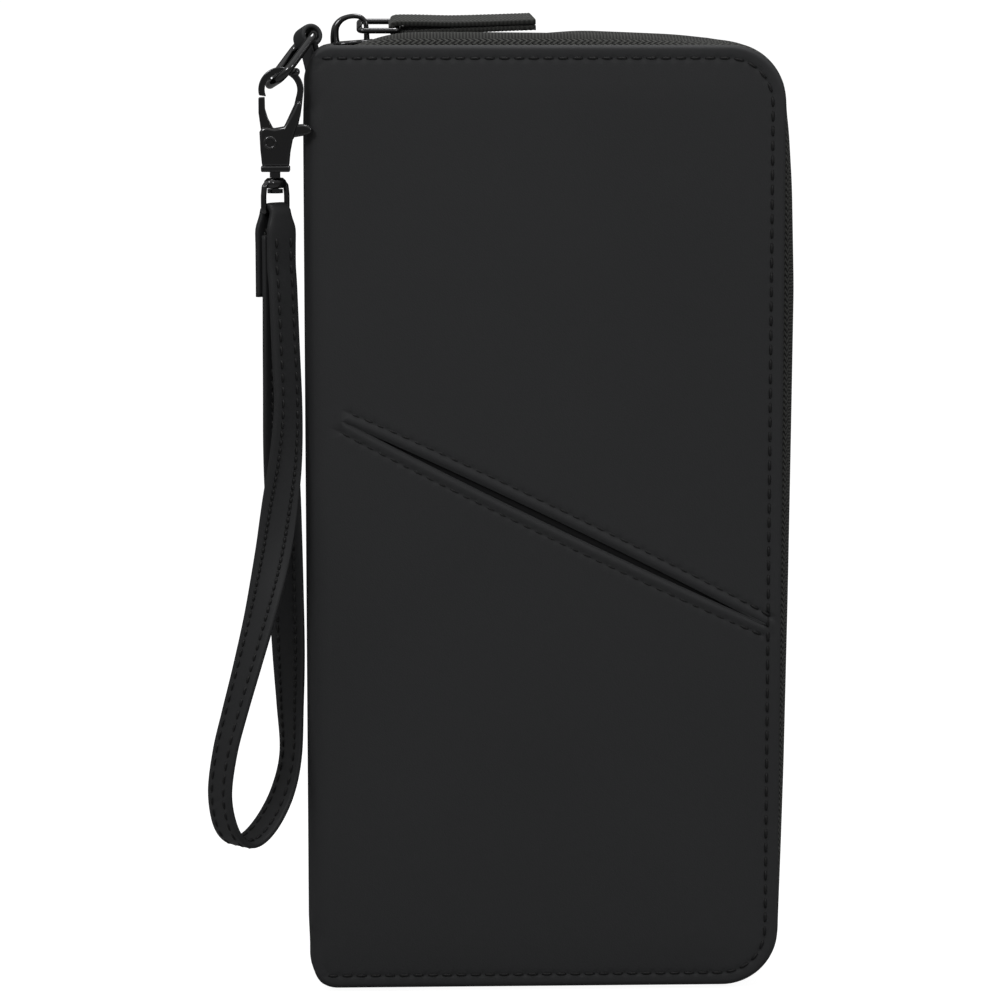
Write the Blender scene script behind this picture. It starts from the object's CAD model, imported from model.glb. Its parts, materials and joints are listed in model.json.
"""Looks of the passport holder wallet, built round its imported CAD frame.

Lengths inside the builders are millimetres and are turned into metres when a mesh is made.
+Z is up, +X runs from the spine to the free edge and -Y is the front.
"""

import json
import math

import bmesh
import bpy
import numpy as np
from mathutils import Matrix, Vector
from mathutils.geometry import delaunay_2d_cdt


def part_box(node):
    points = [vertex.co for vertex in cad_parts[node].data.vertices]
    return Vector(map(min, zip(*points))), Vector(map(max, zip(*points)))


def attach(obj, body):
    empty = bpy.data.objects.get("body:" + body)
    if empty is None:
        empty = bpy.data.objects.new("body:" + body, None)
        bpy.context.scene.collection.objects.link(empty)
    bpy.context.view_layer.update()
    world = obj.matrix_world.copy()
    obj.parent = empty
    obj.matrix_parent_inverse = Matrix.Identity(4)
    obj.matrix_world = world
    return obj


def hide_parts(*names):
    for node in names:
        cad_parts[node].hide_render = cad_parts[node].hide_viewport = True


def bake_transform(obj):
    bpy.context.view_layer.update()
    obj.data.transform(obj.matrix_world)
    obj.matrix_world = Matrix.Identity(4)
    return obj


bl_info = {
    "name": "Passport Holder Wallet",
    "version": (1, 0, 0),
    "blender": (4, 5, 0),
    "location": "View3D > Sidebar > Wallet",
    "description": "Builds the looks of a zip-around passport wallet on its CAD frame",
    "category": "Object",
}

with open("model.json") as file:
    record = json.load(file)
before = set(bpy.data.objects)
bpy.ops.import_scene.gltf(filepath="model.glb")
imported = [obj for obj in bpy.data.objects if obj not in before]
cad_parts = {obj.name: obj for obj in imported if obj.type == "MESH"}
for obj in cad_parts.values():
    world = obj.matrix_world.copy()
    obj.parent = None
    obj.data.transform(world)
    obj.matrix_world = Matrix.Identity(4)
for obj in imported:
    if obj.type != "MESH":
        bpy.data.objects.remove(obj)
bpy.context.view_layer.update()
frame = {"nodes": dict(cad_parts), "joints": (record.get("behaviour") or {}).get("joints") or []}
nodes = frame["nodes"]
joints = {joint["name"]: joint for joint in frame["joints"]}

METRE = 1000.0
BACKWARDS = np.array([0.0, 1.0, 0.0])


def limits(node):
    """Lowest and highest corner of a CAD node, in millimetres."""
    low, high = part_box(node)
    return np.array(low) * METRE, np.array(high) * METRE


def joint_place(name):
    """Position of a joint in millimetres and the direction of its axis."""
    joint = joints[name]
    place = joint.get("pos_m", (0.0, 0.0, 0.0))
    return np.array(place) * METRE, np.array(joint["axis"], float)


# The wallet's own measures. The sizes are read from the frame and the corner radii repeat
# those of the part's source. The skin is sewn a little inside the CAD's free edge, where
# the zip bulges out over it.
SKIN_TUCK = 1.0
SKIN_LOW, SKIN_HIGH = limits("front_skin")
LEFT_X = limits("spine_skin")[0][0]
FOLD_X = SKIN_LOW[0]
RIGHT_X = SKIN_HIGH[0] - SKIN_TUCK
LOW_Z = SKIN_LOW[2]
HIGH_Z = SKIN_HIGH[2]
HALF_T = -SKIN_LOW[1]
SKIN_T = SKIN_HIGH[1] - SKIN_LOW[1]
SPINE_ROUND = FOLD_X - LEFT_X
SPINE_CORNER_R = 7.0
TOP_CORNER_R = 14.0
BOTTOM_CORNER_R = 14.0
TURN_START_S = FOLD_X
SIDE_START_S = FOLD_X - SPINE_ROUND * math.pi / 2
MIDDLE_S = SIDE_START_S - (HALF_T - SPINE_ROUND)

# The slanted slit on the front: its ends as x and z, and half of its widest gap.
SLIT_START = np.array([-50.4, 144.5])
SLIT_END = np.array([54.6, 93.0])
SLIT_HALF_GAP = 1.15
SLIT_SEAM = 2.6
LIP_R = 0.36

# Mesh of the skin: rows beside the sewn edge and the slit, and a grid over the rest.
EDGE_STEP = 0.9
EDGE_BANDS = (0.2, 0.45, 0.8, 1.3, 2.0, 2.6, 3.0, 3.4, 3.9, 4.8, 6.5, 9.0)
LIP_BANDS = (0.25, 0.6, 1.1, 1.7, 2.2, 2.6, 3.0, 3.6, 4.6)
GRID_STEP = 3.0
GRID_MARGIN = 10.5

# Relief of the skin's face: the height of each feature and how far it spreads.
EDGE_ROLL = (-0.62, 0.5)
SEAM_GROOVE = (-0.16, 0.6)
LIP_ROLL = (-0.30, 0.32)
LIP_PUFF = (0.22, 0.9)
LIP_GROOVE = (-0.15, 0.55)
NEEDLE_DIMPLE = (-0.3, 0.5)
PADDING_START = 4.0
PADDING_RUN = 7.0


# ---- Settings ----


class WalletSettings(bpy.types.PropertyGroup):
    """Sizes and colours that a user may change before building."""

    stitch_pitch: bpy.props.FloatProperty(
        name="Stitch Pitch",
        description="Distance from one needle hole to the next",
        default=0.0036,
        min=0.001,
        unit="LENGTH",
    )
    stitch_inset: bpy.props.FloatProperty(
        name="Stitch Inset",
        description="Distance of the seam from a cover's edge",
        default=0.0032,
        min=0.001,
        unit="LENGTH",
    )
    thread_thickness: bpy.props.FloatProperty(
        name="Thread Thickness",
        description="Diameter of the sewing thread",
        default=0.00075,
        min=0.0001,
        unit="LENGTH",
    )
    padding: bpy.props.FloatProperty(
        name="Padding",
        description="Rise of a cover's face over its sewn border",
        default=0.0003,
        min=0.0,
        unit="LENGTH",
    )
    leather_color: bpy.props.FloatVectorProperty(
        name="Leather Colour",
        description="Colour of the coated leather",
        default=(0.0345, 0.0352, 0.0368),
        size=3,
        subtype="COLOR",
    )
    metal_color: bpy.props.FloatVectorProperty(
        name="Metal Colour",
        description="Colour of the black nickel hardware",
        default=(0.055, 0.055, 0.057),
        size=3,
        subtype="COLOR",
    )
    camera_azimuth: bpy.props.FloatProperty(
        name="Camera Azimuth",
        description="Turn of the camera round the wallet",
        default=math.radians(-2.0),
        subtype="ANGLE",
    )
    camera_elevation: bpy.props.FloatProperty(
        name="Camera Elevation",
        description="Height of the camera over the horizon",
        default=math.radians(8.0),
        subtype="ANGLE",
    )
    camera_distance: bpy.props.FloatProperty(
        name="Camera Distance",
        description="Distance from the camera to the middle of the wallet",
        default=0.95,
        min=0.3,
        unit="LENGTH",
    )


# ---- Meshes ----


def add_mesh(name, points, faces, material, smooth=True, uvs=None):
    """A mesh object from points in millimetres; uvs holds one pair for each point."""
    mesh = bpy.data.meshes.new(name)
    mesh.from_pydata([tuple(np.asarray(p) / METRE) for p in points], [], faces)
    if uvs is not None:
        layer = mesh.uv_layers.new(name="UVMap")
        index = np.zeros(len(mesh.loops), int)
        mesh.loops.foreach_get("vertex_index", index)
        layer.data.foreach_set("uv", np.asarray(uvs, np.float32)[index].ravel())
    mesh.validate()
    mesh.polygons.foreach_set("use_smooth", [smooth] * len(mesh.polygons))
    mesh.materials.append(material)
    obj = bpy.data.objects.new(name, mesh)
    bpy.context.scene.collection.objects.link(obj)
    return obj


class MeshParts:
    """Collects several closed shapes into one mesh."""

    def __init__(self):
        self.points = []
        self.faces = []

    def add(self, points, faces):
        start = len(self.points)
        self.points.extend(points)
        self.faces.extend([tuple(start + i for i in face) for face in faces])

    def build(self, name, material, smooth=True):
        if not self.points:
            raise RuntimeError(f"{name} has no geometry")
        return add_mesh(name, self.points, self.faces, material, smooth)


def unit(v):
    """The direction of a vector, one long."""
    return v / max(np.linalg.norm(v), 1e-12)


def loft(sections, closed=False, caps=True):
    """Points and faces that join sections of equal length, each a closed loop."""
    count, size = len(sections), len(sections[0])
    points = [p for section in sections for p in section]
    faces = []
    for i in range(count if closed else count - 1):
        here, there = i * size, ((i + 1) % count) * size
        for k in range(size):
            nxt = (k + 1) % size
            faces.append((here + k, here + nxt, there + nxt, there + k))
    if caps and not closed:
        faces.append(tuple(range(size))[::-1])
        faces.append(tuple(range((count - 1) * size, count * size)))
    return points, faces


def oval(centre, axis_a, axis_b, a, b, sides=16, power=2.0):
    """A closed loop of points, round for power 2 and squarer above it."""
    loop = []
    for k in range(sides):
        turn = 2 * math.pi * k / sides
        c, s = math.cos(turn), math.sin(turn)
        ca = math.copysign(abs(c) ** (2 / power), c)
        sb = math.copysign(abs(s) ** (2 / power), s)
        loop.append(centre + axis_a * (a * ca) + axis_b * (b * sb))
    return loop


def smooth_rows(rows, steps):
    """A smooth curve through rows of numbers, with steps points for each gap."""
    rows = np.asarray(rows, float)
    out = []
    last = len(rows) - 1
    for i in range(last):
        a, b = rows[max(i - 1, 0)], rows[i]
        c, d = rows[i + 1], rows[min(i + 2, last)]
        for k in range(steps):
            t = k / steps
            out.append(
                0.5
                * (
                    2 * b
                    + t * (c - a)
                    + t * t * (2 * a - 5 * b + 4 * c - d)
                    + t**3 * (3 * b - a - 3 * c + d)
                )
            )
    out.append(rows[last])
    return np.array(out)


def run_length(points):
    """Distance along a line of points, at each point."""
    steps = np.linalg.norm(np.diff(points, axis=0), axis=1)
    return np.concatenate([[0], np.cumsum(steps)])


def resample(points, step):
    """Even points along a line, about step apart."""
    run = run_length(points)
    count = max(2, int(round(run[-1] / step)) + 1)
    at = np.linspace(0, run[-1], count)
    return np.stack([np.interp(at, run, points[:, k]) for k in range(points.shape[1])], 1)


def rod(centres, radius, across, flat=1.0, sides=14, closed=False, power=2.0):
    """A bent rod: radius may vary along it, and flat scales it along across."""
    centres = np.asarray(centres, float)
    count = len(centres)
    radii = np.broadcast_to(np.asarray(radius, float), (count,))
    sections = []
    for i in range(count):
        if closed:
            ahead, behind = centres[(i + 1) % count], centres[i - 1]
        else:
            ahead, behind = centres[min(i + 1, count - 1)], centres[max(i - 1, 0)]
        along = unit(ahead - behind)
        side = unit(across - along * (along @ across))
        up = np.cross(side, along)
        sections.append(oval(centres[i], up, side, radii[i], radii[i] * flat, sides, power))
    return loft(sections, closed)


# ---- Shader helpers ----


def node_group(name, inputs, outputs):
    """A shared effect as a node group, with its input and output nodes."""
    group = bpy.data.node_groups.new(name, "ShaderNodeTree")
    for label, kind, default in inputs:
        socket = group.interface.new_socket(label, in_out="INPUT", socket_type=kind)
        socket.default_value = default
    for label, kind in outputs:
        group.interface.new_socket(label, in_out="OUTPUT", socket_type=kind)
    return group, group.nodes.new("NodeGroupInput"), group.nodes.new("NodeGroupOutput")


def math_node(tree, operation, a, b=0.0):
    """A maths node whose inputs are sockets or numbers; returns its output."""
    node = tree.nodes.new("ShaderNodeMath")
    node.operation = operation
    for socket, value in zip(node.inputs, (a, b)):
        if isinstance(value, (int, float)):
            socket.default_value = value
        else:
            tree.links.new(value, socket)
    return node.outputs[0]


def sine_wave(tree, value, pitch):
    """A wave from -1 to 1 that repeats every pitch of a value."""
    turns = math_node(tree, "DIVIDE", value, pitch)
    return math_node(tree, "SINE", math_node(tree, "MULTIPLY", turns, 2 * math.pi))


def noise_node(tree, vector, scale, detail=2.0, rough=0.5):
    """A noise texture read at a vector; returns its value from 0 to 1."""
    node = tree.nodes.new("ShaderNodeTexNoise")
    tree.links.new(vector, node.inputs["Vector"])
    if isinstance(scale, (int, float)):
        node.inputs["Scale"].default_value = scale
    else:
        tree.links.new(scale, node.inputs["Scale"])
    node.inputs["Detail"].default_value = detail
    node.inputs["Roughness"].default_value = rough
    return node.outputs["Fac"]


def grain_group():
    """Fine pebbled grain with broad soft unevenness: a height and a mask."""
    name = "Leather Grain"
    if name in bpy.data.node_groups:
        return bpy.data.node_groups[name]
    group, start, end = node_group(
        name,
        [("Grain Scale", "NodeSocketFloat", 2200.0), ("Broad Scale", "NodeSocketFloat", 24.0)],
        [("Height", "NodeSocketFloat"), ("Broad", "NodeSocketFloat")],
    )
    place = group.nodes.new("ShaderNodeTexCoord").outputs["Object"]
    fine = noise_node(group, place, start.outputs["Grain Scale"], 3.0)
    broad = noise_node(group, place, start.outputs["Broad Scale"], 2.0)
    group.links.new(fine, end.inputs["Height"])
    group.links.new(broad, end.inputs["Broad"])
    return group


def weave_group():
    """Threads crossing at right angles on a piece's own UV map, in threads per unit."""
    name = "Cloth Weave"
    if name in bpy.data.node_groups:
        return bpy.data.node_groups[name]
    group, start, end = node_group(
        name,
        [("Across", "NodeSocketFloat", 10.0), ("Along", "NodeSocketFloat", 10.0)],
        [("Height", "NodeSocketFloat")],
    )
    split = group.nodes.new("ShaderNodeSeparateXYZ")
    group.links.new(group.nodes.new("ShaderNodeTexCoord").outputs["UV"], split.inputs[0])
    waves = []
    for socket, label in ((split.outputs[0], "Across"), (split.outputs[1], "Along")):
        turns = math_node(group, "MULTIPLY", socket, start.outputs[label])
        angle = math_node(group, "MULTIPLY", turns, 2 * math.pi)
        waves.append(math_node(group, "SINE", angle))
    both = math_node(group, "MULTIPLY", waves[0], waves[1])
    height = math_node(group, "MULTIPLY_ADD", both, 0.5)
    group.nodes[-1].inputs[2].default_value = 0.5
    group.links.new(height, end.inputs["Height"])
    return group


def tape_group():
    """Zip tape: fine ribs across it, and a herringbone strip beside the cover."""
    name = "Zip Tape Weave"
    if name in bpy.data.node_groups:
        return bpy.data.node_groups[name]
    group, start, end = node_group(
        name,
        [
            ("Rib Pitch", "NodeSocketFloat", 0.8),
            ("Herringbone Pitch", "NodeSocketFloat", 1.5),
            ("Herringbone Width", "NodeSocketFloat", 2.2),
        ],
        [("Height", "NodeSocketFloat"), ("Gaps", "NodeSocketFloat")],
    )
    split = group.nodes.new("ShaderNodeSeparateXYZ")
    group.links.new(group.nodes.new("ShaderNodeTexCoord").outputs["UV"], split.inputs[0])
    along, across = split.outputs[0], split.outputs[1]
    ribs = sine_wave(group, along, start.outputs["Rib Pitch"])
    zigzag = math_node(group, "PINGPONG", across, 0.7)
    lean = math_node(group, "MULTIPLY", zigzag, 1.3)
    leaning = math_node(group, "ADD", along, lean)
    chevrons = sine_wave(group, leaning, start.outputs["Herringbone Pitch"])
    inside = math_node(group, "LESS_THAN", across, start.outputs["Herringbone Width"])
    outside = math_node(group, "SUBTRACT", 1.0, inside)
    height = math_node(
        group,
        "ADD",
        math_node(group, "MULTIPLY", chevrons, inside),
        math_node(group, "MULTIPLY", ribs, outside),
    )
    gaps = math_node(group, "SUBTRACT", 0.35, math_node(group, "MULTIPLY", height, 0.7))
    group.nodes[-1].use_clamp = True
    group.links.new(height, end.inputs["Height"])
    group.links.new(gaps, end.inputs["Gaps"])
    return group


def look_name(name):
    """A material's name, kept apart from the plain one that the frame brings."""
    return name + "_look"


def new_material(name, color, roughness, metallic=0.0, specular=0.5):
    """A material with its Principled node ready, and that node."""
    material = bpy.data.materials.new(look_name(name))
    material.use_nodes = True
    shader = material.node_tree.nodes["Principled BSDF"]
    shader.inputs["Base Color"].default_value = (*color, 1.0)
    shader.inputs["Roughness"].default_value = roughness
    shader.inputs["Metallic"].default_value = metallic
    shader.inputs["Specular IOR Level"].default_value = specular
    return material, shader


def use_group(material, group, **values):
    """The group placed in a material, with values set on its named inputs."""
    node = material.node_tree.nodes.new("ShaderNodeGroup")
    node.node_tree = group
    for label, value in values.items():
        node.inputs[label.replace("_", " ")].default_value = value
    return node


def bump(material, shader, height, strength, distance):
    """Feeds a height into the shader's normal; distance is in metres."""
    tree = material.node_tree
    node = tree.nodes.new("ShaderNodeBump")
    node.inputs["Strength"].default_value = strength
    node.inputs["Distance"].default_value = distance
    tree.links.new(height, node.inputs["Height"])
    tree.links.new(node.outputs["Normal"], shader.inputs["Normal"])


def shade_between(material, factor, socket, low, high):
    """Feeds a shader input with a value or colour mixed by a factor from 0 to 1."""
    tree = material.node_tree
    color = isinstance(low, tuple)
    node = tree.nodes.new("ShaderNodeMix")
    node.data_type = "RGBA" if color else "FLOAT"
    slots = ("A_Color", "B_Color", "Result_Color") if color else ("A_Float", "B_Float", "Result_Float")
    sockets = {s.identifier: s for s in [*node.inputs, *node.outputs]}
    sockets[slots[0]].default_value = (*low, 1.0) if color else low
    sockets[slots[1]].default_value = (*high, 1.0) if color else high
    tree.links.new(factor, sockets["Factor_Float"])
    tree.links.new(sockets[slots[2]], socket)


def leather_material(name, color, roughness):
    """Soft-touch coated leather: a matte skin, very fine grain, faint mottling."""
    material, shader = new_material(name, color, roughness, specular=0.3)
    grain = use_group(material, grain_group())
    bump(material, shader, grain.outputs["Height"], 0.28, 0.00012)
    lighter = tuple(c * 1.13 for c in color)
    shade_between(material, grain.outputs["Broad"], shader.inputs["Base Color"], color, lighter)
    shade_between(
        material, grain.outputs["Broad"], shader.inputs["Roughness"], roughness - 0.05, roughness + 0.06
    )
    return material


def metal_material(name, color, roughness):
    """Plated metal with a slightly uneven polish."""
    material, shader = new_material(name, color, roughness, metallic=1.0)
    grain = use_group(material, grain_group(), Grain_Scale=900.0, Broad_Scale=260.0)
    shade_between(
        material, grain.outputs["Broad"], shader.inputs["Roughness"], roughness * 0.8, roughness * 1.3
    )
    shader.inputs["Coat Weight"].default_value = 1.0
    shader.inputs["Coat Roughness"].default_value = 0.04
    return material


def cloth_material(name, color, across, along, strength=0.6):
    """Woven cloth on the piece's UV map, which is in millimetres."""
    material, shader = new_material(name, color, 0.85, specular=0.3)
    weave = use_group(material, weave_group(), Across=across, Along=along)
    bump(material, shader, weave.outputs["Height"], strength, 0.00015)
    darker = tuple(c * (1.0 - 0.8 * strength) for c in color)
    shade_between(material, weave.outputs["Height"], shader.inputs["Base Color"], darker, color)
    shader.inputs["Sheen Weight"].default_value = 0.15
    return material


def tape_material(name, color):
    """Zip tape with dark gaps between its ribs."""
    material, shader = new_material(name, color, 0.8, specular=0.35)
    weave = use_group(material, tape_group())
    bump(material, shader, weave.outputs["Height"], 0.9, 0.00018)
    darker = tuple(c * 0.08 for c in color)
    shade_between(material, weave.outputs["Gaps"], shader.inputs["Base Color"], color, darker)
    shader.inputs["Sheen Weight"].default_value = 0.1
    return material


def plain_material(name, color, roughness, metallic=0.0, grain_scale=1500.0):
    """A plain finish with a little fine unevenness."""
    material, shader = new_material(name, color, roughness, metallic)
    grain = use_group(material, grain_group(), Grain_Scale=grain_scale)
    bump(material, shader, grain.outputs["Height"], 0.15, 0.00005)
    return material


MATERIAL_MAKERS = {
    "pu_leather": lambda s: leather_material("pu_leather", tuple(s.leather_color), 0.56),
    "strap_leather": lambda s: leather_material(
        "strap_leather", tuple(0.8 * c for c in s.leather_color), 0.5
    ),
    "lining": lambda s: cloth_material("lining", (0.009, 0.009, 0.01), 1.6, 0.25),
    "pocket_cloth": lambda s: cloth_material("pocket_cloth", (0.026, 0.026, 0.029), 1.1, 1.1),
    "board": lambda s: plain_material("board", (0.35, 0.3, 0.22), 0.9, 0.0, 600.0),
    "zip_tape": lambda s: tape_material("zip_tape", (0.046, 0.047, 0.043)),
    "zip_teeth": lambda s: plain_material("zip_teeth", (0.012, 0.012, 0.013), 0.4),
    "black_metal": lambda s: metal_material("black_metal", tuple(s.metal_color), 0.16),
    "spring_steel": lambda s: metal_material("spring_steel", (0.4, 0.4, 0.41), 0.25),
    "webbing": lambda s: cloth_material("webbing", (0.052, 0.053, 0.049), 1.0, 0.6, 1.0),
    "thread": lambda s: plain_material("thread", (0.003, 0.003, 0.0034), 0.6, 0.0, 4000.0),
}


def material(name):
    """The named material, made the first time that it is asked for."""
    if look_name(name) not in bpy.data.materials:
        MATERIAL_MAKERS[name](bpy.context.scene.wallet)
    return bpy.data.materials[look_name(name)]


def dress(node, name, rounding=0.18):
    """Gives a CAD node that stays in sight its material, smooth shading and rounded edges."""
    obj = nodes[node]
    obj.data.materials.clear()
    obj.data.materials.append(material(name))
    modifier = obj.modifiers.new("Rounded edges", "BEVEL")
    modifier.width = rounding / METRE
    modifier.segments = 3
    modifier.limit_method = "ANGLE"
    modifier.angle_limit = math.radians(50)
    modifier.harden_normals = False
    obj.data.polygons.foreach_set("use_smooth", [True] * len(obj.data.polygons))
    obj.data.set_sharp_from_angle(angle=math.radians(50))


def place_piece(obj, slot_name, body, *replaced):
    """Gives a new piece its slot and body, and the CAD nodes that it stands for."""
    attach(obj, body)
    if replaced:
        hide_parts(*replaced)
    return obj


# ---- The skin, drawn flat and then wrapped round the spine ----


def wrapped(s, z, rise, side):
    """A point of the skin: s runs along its width, rise is outwards, side is -1 for the front."""
    if s >= TURN_START_S:
        x, y, out = s, HALF_T, (0.0, 1.0)
    elif s > SIDE_START_S:
        turn = (TURN_START_S - s) / SPINE_ROUND
        out = (-math.sin(turn), math.cos(turn))
        x = FOLD_X + SPINE_ROUND * out[0]
        y = HALF_T - SPINE_ROUND + SPINE_ROUND * out[1]
    else:
        x, y, out = LEFT_X, HALF_T - SPINE_ROUND - (SIDE_START_S - s), (-1.0, 0.0)
    return np.array([x + rise * out[0], side * (y + rise * out[1]), z])


def spine_end_drop(s):
    """How far the corner beside the spine cuts into the skin's height, at s."""
    x = wrapped(s, 0, 0, 1)[0]
    beyond = min(max(LEFT_X + SPINE_CORNER_R - x, 0.0), SPINE_CORNER_R)
    return SPINE_CORNER_R - math.sqrt(SPINE_CORNER_R**2 - beyond**2)


def skin_outline(step):
    """The skin's sewn edge, flat: from the spine's middle round the free edge and back."""
    points = []
    left_run = np.arange(MIDDLE_S, LEFT_X + SPINE_CORNER_R, 0.25)
    for s in left_run:
        points.append((s, LOW_Z + spine_end_drop(s)))
    r = BOTTOM_CORNER_R
    for a in np.radians(np.arange(-90, 1, 3)):
        points.append((RIGHT_X - r + r * math.cos(a), LOW_Z + r + r * math.sin(a)))
    r = TOP_CORNER_R
    for a in np.radians(np.arange(0, 91, 3)):
        points.append((RIGHT_X - r + r * math.cos(a), HIGH_Z - r + r * math.sin(a)))
    for s in left_run[::-1]:
        points.append((s, HIGH_Z - spine_end_drop(s)))
    return resample(np.array(points), step)


def inward_normals(line):
    """Normals of a flat line that runs anticlockwise, pointing inside."""
    ahead = np.roll(line, -1, 0)
    behind = np.roll(line, 1, 0)
    ahead[-1], behind[0] = line[-1], line[0]
    along = ahead - behind
    along /= np.linalg.norm(along, axis=1)[:, None]
    return np.stack([-along[:, 1], along[:, 0]], 1)


def distance_to_line(points, line):
    """Shortest distance from each point to a line of points."""
    a, b = line[:-1], line[1:]
    ab = b - a
    best = np.full(len(points), 1e9)
    for i in range(len(a)):
        t = np.clip(((points - a[i]) @ ab[i]) / max(ab[i] @ ab[i], 1e-12), 0, 1)
        near = a[i] + t[:, None] * ab[i]
        best = np.minimum(best, np.linalg.norm(points - near, axis=1))
    return best


def slit_line(shift, count=120):
    """Points beside the slit: shift is the distance from its upper lip, or below its lower one."""
    run = SLIT_END - SLIT_START
    along = unit(run)
    up = np.array([-along[1], along[0]])
    t = np.linspace(0, 1, count)
    gap = SLIT_HALF_GAP * (1 - (2 * t - 1) ** 2) ** 0.8
    return SLIT_START + np.outer(t, run) + np.outer(gap * math.copysign(1, shift) + shift, up)


def pocket_lips():
    """The slit's two edges, upper and lower."""
    return slit_line(1e-6), slit_line(-1e-6)


def cover_seam(settings):
    """Needle holes of the seam round a cover, from the fold and back to it."""
    edge = skin_outline(0.9)
    depth = settings.stitch_inset * METRE
    inset = edge + inward_normals(edge) * depth
    beside_spine = inset[:, 0] < LEFT_X + SPINE_CORNER_R + 3.0
    upper = inset[:, 1] > HIGH_Z / 2
    inset[beside_spine & upper, 1] = HIGH_Z - depth
    inset[beside_spine & ~upper, 1] = LOW_Z + depth
    inset = inset[inset[:, 0] > FOLD_X + 1.0]
    return resample(inset, settings.stitch_pitch * METRE)


def slit_seams(settings):
    """Needle holes above and below the slit."""
    pitch = settings.stitch_pitch * METRE * 0.93
    return [resample(slit_line(side * SLIT_SEAM), pitch) for side in (1, -1)]


def relief(distance, feature):
    """Height of a rounded feature at a distance from its middle."""
    height, spread = feature
    return height * np.exp(-((distance / spread) ** 2))


def skin_rise(points, edge, holes, settings, slit):
    """Height of the skin's face over its flat outline."""
    d = distance_to_line(points, edge)
    padding = settings.padding * METRE
    rise = relief(d, EDGE_ROLL) + padding * np.clip((d - PADDING_START) / PADDING_RUN, 0, 1)
    rise += relief(d - settings.stitch_inset * METRE, SEAM_GROOVE) * (points[:, 0] > FOLD_X)
    if slit:
        lips = np.minimum(*[distance_to_line(points, lip) for lip in pocket_lips()])
        rise += relief(lips, LIP_ROLL)
        rise += relief(lips - 1.1, LIP_PUFF)
        rise += relief(lips - 2.5, LIP_GROOVE)
    for hole in holes:
        near = np.abs(points - hole).max(axis=1) < 1.6
        rise[near] += relief(np.linalg.norm(points[near] - hole, axis=1), NEEDLE_DIMPLE)
    return rise


def skin_points(edge, inward):
    """Loose points of a skin's mesh: rows beside the sewn edge, and a grid over the rest."""
    rows = [edge[2:-2] + inward[2:-2] * band for band in EDGE_BANDS]
    xs = np.arange(MIDDLE_S + GRID_STEP / 2, RIGHT_X, GRID_STEP)
    zs = np.arange(LOW_Z + GRID_STEP, HIGH_Z, GRID_STEP)
    grid = np.array([(x, z + (i % 2) * GRID_STEP / 2) for i, x in enumerate(xs) for z in zs])
    rows.append(grid[distance_to_line(grid, edge) > GRID_MARGIN])
    return rows


def build_skin(name, side, settings, slit):
    """One half of the outer skin: a cover's face and half of the spine."""
    edge = skin_outline(EDGE_STEP)
    inward = inward_normals(edge)
    loose = skin_points(edge, inward)
    middle = np.array([(MIDDLE_S, z) for z in np.arange(edge[0, 1], edge[-1, 1], GRID_STEP)])[1:-1]
    holes = [cover_seam(settings)]
    hole_loop = np.zeros((0, 2))
    if slit:
        upper, lower = pocket_lips()
        hole_loop = np.concatenate([lower, upper[::-1][1:-1]])
        loose += [slit_line(side * shift, 128) for shift in LIP_BANDS for side in (1, -1)]
        holes += slit_seams(settings)
    holes = np.concatenate(holes)
    inside = np.concatenate(loose)
    inside = inside[inside[:, 0] > MIDDLE_S + 0.4]
    boundary = np.concatenate([edge, middle[::-1]])
    flat = np.concatenate([boundary, hole_loop, inside])
    n, m = len(boundary), len(hole_loop)
    links = [(i, (i + 1) % n) for i in range(n)]
    links += [(n + i, n + (i + 1) % m) for i in range(m)]
    made, _, faces, *_ = delaunay_2d_cdt([Vector(p) for p in flat], links, [], 1, 1e-4)
    made = np.array([tuple(p) for p in made])
    if slit:
        lens = faces_in_loop(made, faces, hole_loop)
        faces = [f for f, drop in zip(faces, lens) if not drop]
    rise = skin_rise(made, edge, holes, settings, slit)
    points = [wrapped(s, z, h, side) for (s, z), h in zip(made, rise)]
    faces = [tuple(f) if side < 0 else tuple(f)[::-1] for f in faces]
    parts = MeshParts()
    parts.add(points, faces)
    turned = [(0.0, EDGE_ROLL[0]), (0.0, -SKIN_T), (2.4, -SKIN_T - 0.02)]
    turn_edge(parts, edge, inward, turned, side)
    if slit:
        turn_slit(parts, hole_loop, side)
    obj = parts.build(name, material("pu_leather"))
    merge_close(obj, 2e-6)
    return obj


def faces_in_loop(points, faces, loop):
    """Whether each face's middle lies inside a closed loop."""
    centres = np.array([points[list(f)].mean(axis=0) for f in faces])
    inside = np.zeros(len(centres), bool)
    a = loop
    b = np.roll(loop, -1, 0)
    for (ax, ay), (bx, by) in zip(a, b):
        crosses = (ay > centres[:, 1]) != (by > centres[:, 1])
        if abs(by - ay) < 1e-12:
            continue
        at = ax + (centres[:, 1] - ay) * (bx - ax) / (by - ay)
        inside ^= crosses & (centres[:, 0] < at)
    return inside


def turn_edge(parts, edge, inward, rows, side):
    """Turns the skin under along its sewn edge."""
    rings = [
        [wrapped(*(p + n * inset), rise, side) for p, n in zip(edge, inward)] for inset, rise in rows
    ]
    size = len(edge)
    points = [p for ring in rings for p in ring]
    faces = []
    for row in range(len(rows) - 1):
        for i in range(size - 1):
            quad = (row * size + i, row * size + i + 1, (row + 1) * size + i + 1, (row + 1) * size + i)
            faces.append(quad[::-1] if side < 0 else quad)
    parts.add(points, faces)


def turn_slit(parts, loop, side):
    """Walls of the slit, down to the lining."""
    rings = [[wrapped(*p, rise, side) for p in loop] for rise in (LIP_ROLL[0], -SKIN_T)]
    size = len(loop)
    faces = []
    for i in range(size):
        j = (i + 1) % size
        faces.append((i, j, size + j, size + i))
    parts.add(rings[0] + rings[1], faces)


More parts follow.
